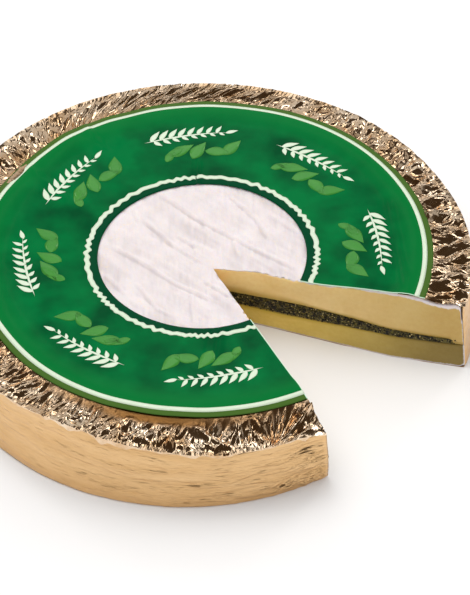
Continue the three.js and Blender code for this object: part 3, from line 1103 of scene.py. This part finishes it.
def label_height(x, y):
    """Height of the label's underside: flat over the rind, up over the foil, waved at its outer edge."""
    radius = np.hypot(x, y)
    angle = np.arctan2(y, x)
    step = smoothstep(94.0, 101.0, radius) * 0.75
    edge = smoothstep(90.0, 112.0, radius)
    wave = 0.35 * (1 + np.sin(5 * angle + 1) * np.cos(2 * angle)) * edge
    ripples = 0.22 * np.sin(23 * angle + 2.0 * np.sin(3 * angle)) * smoothstep(100.0, 112.0, radius)
    ripples = ripples * (0.3 + 0.7 * around(angle, 125.0, 35.0))
    soft = 0.35 * layered_noise(x / 24.0, y / 24.0, 151, 2)
    droop = 1.5 * smoothstep(102.5, 111.0, radius)
    kinks = 1.1 * np.sin(9.0 * angle + 0.6) * around(angle, 135.0, 28.0)
    kinks = kinks + 0.6 * np.sin(9.0 * angle) * around(angle, -145.0, 20.0)
    total = RIND_HEIGHT + 0.45 + step + wave + ripples + soft - droop + kinks * edge
    for route, width, depth in LABEL_CREASES:
        total = total + np.maximum(crease_height(x, y, route, width, depth), -0.15)
    return total


LABEL_CREASES = [
    ([(88.5, 36.0), (91.5, 5.1), (94.8, -32.0)], 1.5, 1.1),
    ([(-2.0, 68.0), (-3.3, 47.0)], 0.9, 0.8),
    ([(7.3, -50.0), (4.0, -60.0), (2.5, -72.0)], 2.2, 0.45),
    ([(-60.0, 40.0), (-78.0, 62.0), (-84.0, 70.0)], 2.0, 0.35),
    ([(-42.0, 76.0), (-54.0, 99.0), (-57.0, 104.0)], 3.2, 0.8),
    ([(-96.0, -6.0), (-80.0, -10.0), (-66.0, -18.0)], 2.2, 0.35),
]


def node_input(modifier, name):
    for item in modifier.node_group.interface.items_tree:
        if item.item_type == "SOCKET" and item.in_out == "INPUT" and item.name == name:
            return item.identifier
    raise KeyError(name)


def close_with_material(tree, geometry):
    """Ends a geometry tree in Realize Instances and Set Material."""
    real = tree.add("GeometryNodeRealizeInstances", {"Geometry": geometry}).outputs["Geometry"]
    painted = tree.add("GeometryNodeSetMaterial", {"Geometry": real, "Material": tree.value["Material"]})
    return tree.close("Geometry", painted.outputs["Geometry"])


def combined(tree, x, y, z):
    return tree.add("ShaderNodeCombineXYZ", {"X": x, "Y": y, "Z": z}).outputs["Vector"]


def random_number(tree, low, high, **seed):
    return tree.add("FunctionNodeRandomValue", {2: low, 3: high, **seed}, data_type="FLOAT").outputs[1]


def moved(tree, geometry, position):
    inputs = {"Geometry": geometry, "Position": position}
    return tree.add("GeometryNodeSetPosition", inputs).outputs["Geometry"]


def ring_band_tree():
    """A flat band between two radii, from one cut wall round to the other. Its edges can wander or be shifted
    towards the front."""
    tree = Group("ring band", "GeometryNodeTree", [
        ("Geometry", "Geometry", None), ("Inner radius", "Float", 50.0), ("Outer radius", "Float", 60.0),
        ("Inner shift", "Float", 0.0), ("Outer shift", "Float", 0.0), ("Columns", "Int", 200),
        ("Rows", "Int", 4), ("Wave height", "Float", 0.0), ("Wave count", "Float", 50.0),
        ("Wave drift", "Float", 1.3), ("Material", "Material", None)])
    value = tree.value
    grid = tree.add("GeometryNodeMeshGrid", {
        "Size X": 1.0, "Size Y": 1.0, "Vertices X": value["Columns"], "Vertices Y": value["Rows"]})
    parts = tree.add("ShaderNodeSeparateXYZ", {0: tree.add("GeometryNodeInputPosition").outputs[0]})
    share = tree.math("ADD", parts.outputs["X"], 0.5)
    turn = tree.math("MULTIPLY_ADD", share, FRONT_WALL - RIGHT_WALL, RIGHT_WALL)
    width = tree.math("SUBTRACT", value["Outer radius"], value["Inner radius"])
    across = tree.math("ADD", parts.outputs["Y"], 0.5)
    more = tree.math("SUBTRACT", value["Outer shift"], value["Inner shift"])
    shift = tree.math("MULTIPLY_ADD", across, more, value["Inner shift"])
    centred = tree.math("MULTIPLY_ADD", across, width, value["Inner radius"])
    plain = tree.math("SUBTRACT", centred, tree.math("MULTIPLY", tree.math("SINE", turn), shift))
    drift = tree.math("MULTIPLY", tree.math("SINE", tree.math("MULTIPLY", turn, 7.0)), value["Wave drift"])
    phase = tree.math("MULTIPLY_ADD", turn, value["Wave count"], drift)
    slow = tree.math("SINE", tree.math("MULTIPLY_ADD", turn, 11.0, 1.0))
    swing = tree.math("MULTIPLY_ADD", slow, 0.45, 0.6)
    second = tree.math("MULTIPLY", tree.math("SINE", tree.math("MULTIPLY", turn, 43.0)), 0.5)
    wave = tree.math("MULTIPLY_ADD", tree.math("SINE", phase), swing, second)
    radius = tree.math("MULTIPLY_ADD", wave, value["Wave height"], plain)
    cosine = tree.math("COSINE", turn)
    sine = tree.math("SINE", turn)
    tip_x, tip_y = TIP.tolist()
    along = tree.math("MULTIPLY_ADD", cosine, tip_x, tree.math("MULTIPLY", sine, tip_y))
    squares = tree.math("MULTIPLY_ADD", along, along, tree.math("MULTIPLY", radius, radius))
    root = tree.math("SQRT", tree.math("SUBTRACT", squares, float(TIP @ TIP)))
    distance = tree.math("SUBTRACT", root, along)
    x = tree.math("MULTIPLY_ADD", distance, cosine, tip_x)
    y = tree.math("MULTIPLY_ADD", distance, sine, tip_y)
    return close_with_material(tree, moved(tree, grid.outputs["Mesh"], combined(tree, x, y, 0.0)))


def grown(name, tree, values, base=None):
    """A plain mesh piece from a Geometry Nodes tree with the given inputs, in millimetres."""
    mesh = base or bpy.data.meshes.new(name)
    piece = bpy.data.objects.new(name, mesh)
    bpy.context.collection.objects.link(piece)
    modifier = piece.modifiers.new("shape", "NODES")
    modifier.node_group = tree
    for key, value in values.items():
        modifier[node_input(modifier, key)] = value
    return apply_modifiers(piece)


def lay_on_label(piece, lift, thickness):
    """Lays a flat millimetre mesh on the label's surface and turns it into metres."""
    points = points_of(piece)
    points[:, 2] = label_height(points[:, 0], points[:, 1]) + lift
    move_points(piece, wander(points))
    shape = bmesh.new()
    shape.from_mesh(piece.data)
    bmesh.ops.recalc_face_normals(shape, faces=shape.faces)
    if sum(face.normal.z for face in shape.faces) < 0:
        bmesh.ops.reverse_faces(shape, faces=shape.faces)
    shape.to_mesh(piece.data)
    shape.free()
    piece.data.polygons.foreach_set("use_smooth", [True] * len(piece.data.polygons))
    piece.data.update()
    return thicken(piece, thickness)


def label_film(band, material):
    piece = grown("label_film", band, {
        "Inner radius": LABEL_HOLE, "Outer radius": LABEL_RADIUS, "Inner shift": WINDOW_SHIFT,
        "Columns": 560, "Rows": 54, "Material": material})
    points = points_of(piece)
    beyond = points[:, :2] - TIP
    walls = []
    for wall, sign in ((RIGHT_WALL, 1.0), (FRONT_WALL, -1.0)):
        across = sign * (beyond[:, 1] * math.cos(wall) - beyond[:, 0] * math.sin(wall))
        ahead = beyond[:, 0] * math.cos(wall) + beyond[:, 1] * math.sin(wall)
        walls.append(np.where(ahead > 0.0, np.abs(across), 99.0))
    x, y, _ = points.T
    store(piece.data, radius=np.hypot(x, y), edge=np.minimum(*walls), window=from_window(x, y))
    return lay_on_label(piece, FILM, FILM)


def leaf_strip(base, angle, length, width, bend=0.0, sections=10):
    """A flat leaf as a strip of quads: base point, direction, size and a bend of its midrib."""
    points, faces = [], []
    for i in range(sections + 1):
        t = i / sections
        half = width / 2.0 * max(math.sin(math.pi * t ** 0.8), 0.02) * (1.0 - 0.25 * t)
        here = angle + bend * (t - 0.5)
        x = base[0] + length * t * math.cos(angle) - bend * length * 0.5 * t * (1 - t) * math.sin(angle)
        y = base[1] + length * t * math.sin(angle) + bend * length * 0.5 * t * (1 - t) * math.cos(angle)
        for side in (-1.0, -0.5, 0.0, 0.5, 1.0):
            points.append((x - side * half * math.sin(here), y + side * half * math.cos(here), 0.0))
    for i in range(sections):
        for j in range(4):
            k = 5 * i + j
            faces.append((k, k + 1, k + 6, k + 5))
    return points, faces


def sprig_mesh(name, leaves):
    points, faces = [], []
    for leaf in leaves:
        more, quads = leaf_strip(*leaf)
        start = len(points)
        points.extend(more)
        faces.extend(tuple(start + k for k in quad) for quad in quads)
    mesh = bpy.data.meshes.new(name)
    mesh.from_pydata(points, [], faces)
    return mesh


def branch_leaves():
    """A slim branch with pairs of narrow leaves, lying along X."""
    leaves = [((-21.0, 3.2), 0.06, 42.0, 1.3, 0.3, 14)]
    for i in range(8):
        x = -18.0 + 4.7 * i
        stem = 3.2 + 0.06 * (x + 21.0) + 0.15 * 42.0 * ((x + 21.0) / 42.0) * (1 - (x + 21.0) / 42.0)
        size = 9.0 - 0.45 * i
        leaves.append(((x, stem), 0.95, size, 3.3 - 0.14 * i, 0.25))
        leaves.append(((x + 1.6, stem), -0.75, size * 0.6, 2.6 - 0.12 * i, -0.25))
    leaves.append(((19.6, 5.4), 0.15, 6.5, 2.6, 0.1))
    return leaves


def broad_leaves():
    """Broad pointed leaves in a loose row, lying along X."""
    row = [(-9.0, -8.5, 0.55, 14.0, 7.6), (1.0, -11.5, 0.95, 14.0, 7.8), (8.0, -6.5, -0.3, 13.5, 7.4),
           (17.0, -11.0, 0.8, 13.5, 7.6), (-3.0, -3.5, -2.7, 10.0, 5.4), (-12.0, -12.0, 0.9, 8.5, 4.8)]
    return [((x, y), angle, length, width, 0.3) for x, y, angle, length, width in row]


def ring_of_motifs_tree():
    """Sets copies of one motif round the label, a step apart from the first angle."""
    tree = Group("ring of motifs", "GeometryNodeTree", [
        ("Geometry", "Geometry", None), ("Count", "Int", 7), ("Radius", "Float", 85.0),
        ("First angle", "Float", 0.0), ("Step", "Float", 0.8), ("Seed", "Int", 3),
        ("Material", "Material", None)])
    value = tree.value
    spots = tree.add("GeometryNodeMeshLine", {"Count": value["Count"]}).outputs["Mesh"]
    index = tree.add("GeometryNodeInputIndex").outputs[0]
    angle = tree.math("MULTIPLY_ADD", index, value["Step"], value["First angle"])
    x = tree.math("MULTIPLY", tree.math("COSINE", angle), value["Radius"])
    y = tree.math("MULTIPLY", tree.math("SINE", angle), value["Radius"])
    wobble = random_number(tree, -0.03, 0.03, Seed=value["Seed"])
    facing = tree.math("ADD", tree.math("SUBTRACT", angle, math.pi / 2), wobble)
    copies = tree.add("GeometryNodeInstanceOnPoints", {
        "Points": moved(tree, spots, combined(tree, x, y, 0.0)), "Instance": value["Geometry"],
        "Rotation": combined(tree, 0.0, 0.0, facing)})
    return close_with_material(tree, copies.outputs["Instances"])


MOTIF_COUNT = 7
MOTIF_RADIUS = 79.0
FIRST_MOTIF = math.radians(-85.5)
MOTIF_STEP = math.radians(-45.0)


def label_print(band, cream, leaf_green):
    """The print that stands out from the green: rim line, wavy line and seven plant motifs."""
    motifs = ring_of_motifs_tree()
    common = {"Count": MOTIF_COUNT, "Radius": MOTIF_RADIUS, "First angle": FIRST_MOTIF,
              "Step": MOTIF_STEP, "Seed": 3}
    rim_line = grown("label_rim_line", band, {
        "Inner radius": 105.85, "Outer radius": 108.15, "Columns": 560, "Rows": 3, "Material": cream})
    wavy_line = grown("label_wavy_line", band, {
        "Inner radius": 54.4, "Outer radius": 56.9, "Inner shift": WINDOW_SHIFT,
        "Outer shift": WINDOW_SHIFT, "Columns": 1400, "Rows": 3, "Wave height": 0.55,
        "Wave count": 83.0, "Wave drift": 3.0, "Material": cream})
    branches = grown("label_branches", motifs, {**common, "Material": cream},
                     sprig_mesh("branch", branch_leaves()))
    leaves = grown("label_leaves", motifs, {**common, "Material": leaf_green},
                   sprig_mesh("broad leaves", broad_leaves()))
    trim_at_cut(branches)
    trim_at_cut(leaves)
    layers = [(rim_line, 0.22, cream), (wavy_line, 0.22, cream), (leaves, 0.24, leaf_green),
              (branches, 0.28, cream)]
    for piece, lift, material in layers:
        finish_piece(lay_on_label(piece, lift, INK), material, "label_ring")


# Herb flecks on the cut.


def chip_mesh(name, seed):
    """A small irregular chip of herb or nut."""
    shape = bmesh.new()
    bmesh.ops.create_icosphere(shape, subdivisions=1, radius=0.5)
    draw = np.random.default_rng(seed)
    for vertex in shape.verts:
        vertex.co *= draw.uniform(0.65, 1.2)
        vertex.co.z *= 0.5
    mesh = bpy.data.meshes.new(name)
    shape.to_mesh(mesh)
    shape.free()
    return mesh


def fleck_tree():
    """Scatters chips over a sheet."""
    tree = Group("scattered flecks", "GeometryNodeTree", [
        ("Geometry", "Geometry", None), ("Chip", "Object", None), ("Density", "Float", 1.0),
        ("Smallest", "Float", 0.4), ("Largest", "Float", 1.2), ("Seed", "Int", 1),
        ("Material", "Material", None)])
    value = tree.value
    spread = {"Mesh": value["Geometry"], "Density": value["Density"], "Seed": value["Seed"]}
    scatter = tree.add("GeometryNodeDistributePointsOnFaces", spread, distribute_method="RANDOM")
    chip = tree.add("GeometryNodeObjectInfo", {"Object": value["Chip"]})
    size = random_number(tree, value["Smallest"], value["Largest"])
    spin = tree.add("FunctionNodeRandomValue", {0: (-0.6, -0.6, -3.1), 1: (0.6, 0.6, 3.1)},
                    data_type="FLOAT_VECTOR")
    turned = tree.add("FunctionNodeRotateRotation", {0: scatter.outputs["Rotation"], 1: spin.outputs[0]},
                      rotation_space="LOCAL")
    copies = tree.add("GeometryNodeInstanceOnPoints", {
        "Points": scatter.outputs["Points"], "Instance": chip.outputs["Geometry"],
        "Rotation": turned.outputs[0], "Scale": size})
    return close_with_material(tree, copies.outputs["Instances"])


def wall_sheet(name, low_extra):
    """The cut faces of the herb layer as two sheets in millimetres, reaching a little below the layer."""
    columns, rows = 60, 6
    points, faces = [], []
    for wall, sign in ((RIGHT_WALL, 1.0), (FRONT_WALL, -1.0)):
        distance = np.linspace(3.0, 119.0, columns)[:, None] + np.zeros((1, rows))
        radius, angle = about_axis(wall, distance)
        low = layer_bottom(radius, angle) - low_extra * (1.0 - smoothstep(35.0, 75.0, distance)) + 0.3
        high = layer_top(radius, angle) - 0.1
        height = low + (high - low) * np.linspace(0.0, 1.0, rows)[None, :]
        outward = np.array([math.sin(wall), -math.cos(wall), 0.0]) * sign
        spots = place(wall, distance, height) + 0.15 * outward
        start = sum(len(p) for p in points)
        quads = grid_faces(columns, rows, start)
        faces.extend(quads if sign > 0 else [quad[::-1] for quad in quads])
        points.append(spots.reshape(-1, 3))
    mesh = bpy.data.meshes.new(name)
    mesh.from_pydata(np.concatenate(points).tolist(), [], faces)
    return mesh


def herb_flecks(materials):
    tree = fleck_tree()
    recipes = [("herb_flecks_dark", 0.8, 0.5, 1.3, 5, 0.8), ("herb_flecks_green", 0.4, 0.4, 1.1, 6, 0.5),
               ("herb_crumbs_pale", 0.2, 0.4, 0.95, 7, 0.0)]
    for (name, density, smallest, largest, seed, below), material in zip(recipes, materials):
        chip = bpy.data.objects.new(name + "_chip", chip_mesh(name + "_chip", seed))
        bpy.context.collection.objects.link(chip)
        piece = grown(name, tree, {"Chip": chip, "Density": density, "Smallest": smallest, "Largest": largest,
                                   "Seed": seed, "Material": material}, wall_sheet(name + "_sheet", below))
        bpy.data.objects.remove(chip)
        piece.data.transform(Matrix.Scale(MM, 4))
        finish_piece(piece, material, "pesto_layer")


# Studio.


CAMERA_ELEVATION = math.radians(43.69)
CAMERA_ROLL = math.radians(-1.56)
CAMERA_DISTANCE = 1.954
CAMERA_AIM = Vector((0.0152, 0.0083, 0.0))
FOCAL_PIXELS = 4000.0
FRAME_HEIGHT = 595.0


def add_camera():
    back = Vector((0.0, -math.cos(CAMERA_ELEVATION), math.sin(CAMERA_ELEVATION)))
    right = Vector((1.0, 0.0, 0.0))
    up = right.cross(-back)
    turned_right = math.cos(CAMERA_ROLL) * right + math.sin(CAMERA_ROLL) * up
    turned_up = -math.sin(CAMERA_ROLL) * right + math.cos(CAMERA_ROLL) * up
    lens = bpy.data.cameras.new("photo_camera")
    lens.sensor_width = 36.0
    lens.lens = FOCAL_PIXELS * lens.sensor_width / FRAME_HEIGHT
    lens.clip_end = 50.0
    camera = bpy.data.objects.new("photo_camera", lens)
    bpy.context.collection.objects.link(camera)
    rotation = Matrix((turned_right, turned_up, back)).transposed().to_4x4()
    camera.matrix_world = Matrix.Translation(CAMERA_AIM + back * CAMERA_DISTANCE) @ rotation
    bpy.context.scene.camera = camera


def add_softbox(name, place_at, size, power, shines=False):
    """A lamp aimed at the wheel. Only those that shine show in the foil and the label."""
    light = bpy.data.lights.new(name, "AREA")
    light.shape = "RECTANGLE"
    light.size, light.size_y = size
    light.energy = power
    lamp = bpy.data.objects.new(name, light)
    bpy.context.collection.objects.link(lamp)
    lamp.location = place_at
    lamp.rotation_euler = (-Vector(place_at)).to_track_quat("-Z", "Y").to_euler()
    lamp.visible_glossy = shines


def add_studio():
    add_softbox("key_lamp", (-0.4, 0.3, 1.5), (1.1, 1.0), 8.6)
    add_softbox("cut_lamp", (0.6, -1.3, 1.7), (0.5, 0.4), 10.0)
    add_softbox("overhead_panel", (-0.2, 0.1, 1.4), (0.6, 0.4), 1.9, shines=True)
    add_softbox("left_panel", (-1.7, -0.2, 0.5), (1.4, 0.8), 1.4, shines=True)
    add_softbox("right_panel", (1.7, 0.3, 0.5), (1.2, 0.7), 1.0, shines=True)
    add_softbox("back_panel", (0.1, 1.8, 0.55), (1.9, 0.9), 3.2, shines=True)
    for across in (-0.8, 0.0, 0.8):
        add_softbox("high_back_strip", (across, 1.35, 1.6), (0.26, 1.3), 1.7, shines=True)
    add_softbox("back_left_strip", (-0.95, 1.15, 0.85), (0.25, 0.5), 1.9, shines=True)
    add_softbox("back_right_strip", (0.95, 1.15, 0.85), (0.3, 0.5), 2.0, shines=True)
    world = bpy.data.worlds.new("studio")
    bpy.context.scene.world = world
    world.use_nodes = True
    nodes = Nodes(world.node_tree)
    glossy = nodes.add("ShaderNodeLightPath").outputs["Is Glossy Ray"]
    strength = nodes.add("ShaderNodeMix", {"Factor": glossy, "A": 0.6, "B": 0.05}).outputs["Result"]
    colour = nodes.blend("MIX", glossy, (1.0, 1.0, 1.0, 1.0), (1.0, 0.7, 0.42, 1.0))
    background = nodes.tree.nodes["Background"]
    nodes.link(colour, background.inputs["Color"])
    nodes.link(strength, background.inputs["Strength"])
    bpy.context.scene.view_settings.view_transform = "Standard"


def add_floor():
    finish = Finish("floor", 0.9)
    tone = finish.group(MOTTLE, finish.coordinates(), Light=(0.88, 0.865, 0.855, 1.0),
                        Dark=(0.86, 0.845, 0.835, 1.0), Patches=3.0, Grain=40.0, Contrast=1.0)
    half = 6000.0
    points = [(-half, -half, -0.06), (half, -half, -0.06), (half, half, -0.06), (-half, half, -0.06)]
    floor = new_piece("studio_floor", points, [(0, 1, 2, 3)])
    floor.data.materials.append(finish.surface(Base_Color=tone))


def build():
    add_camera()
    add_studio()
    add_floor()
    rind = srgb(228, 219, 219)
    # The last colour given to each paste is its painted shade towards the rind end.
    finish_piece(lower_paste(), paste_material("lower paste", srgb(234, 206, 109), srgb(218, 187, 87),
                                                srgb(206, 176, 63), rind, (0.29, 0.27, 0.23, 1.0)),
                 "lower_paste")
    finish_piece(upper_paste(), paste_material("upper paste", srgb(250, 222, 160), srgb(240, 206, 138),
                                                srgb(206, 172, 84), rind, (0.58, 0.53, 0.36, 1.0)),
                 "upper_paste")
    finish_piece(herb_filling(), herb_material("herb paste", srgb(92, 82, 32), srgb(8, 5, 2), 430.0),
                 "pesto_layer")
    herb_flecks([herb_material("dark flecks", srgb(26, 24, 10), srgb(8, 8, 4), 600.0),
                 herb_material("green flecks", srgb(104, 98, 46), srgb(58, 54, 22), 600.0),
                 herb_material("pale crumbs", srgb(190, 170, 116), srgb(136, 118, 72), 600.0)])
    finish_piece(foil_side(), side_foil_material(), "foil_wrap")
    finish_piece(foil_rim(), rim_foil_material(), "foil_wrap")
    band = ring_band_tree()
    green = label_material()
    finish_piece(label_film(band, green), green, "label_ring")
    label_print(band, ink_material("cream ink", srgb(211, 223, 202), srgb(200, 215, 188)),
                ink_material("leaf green ink", srgb(66, 142, 50), srgb(48, 120, 46)))


build()
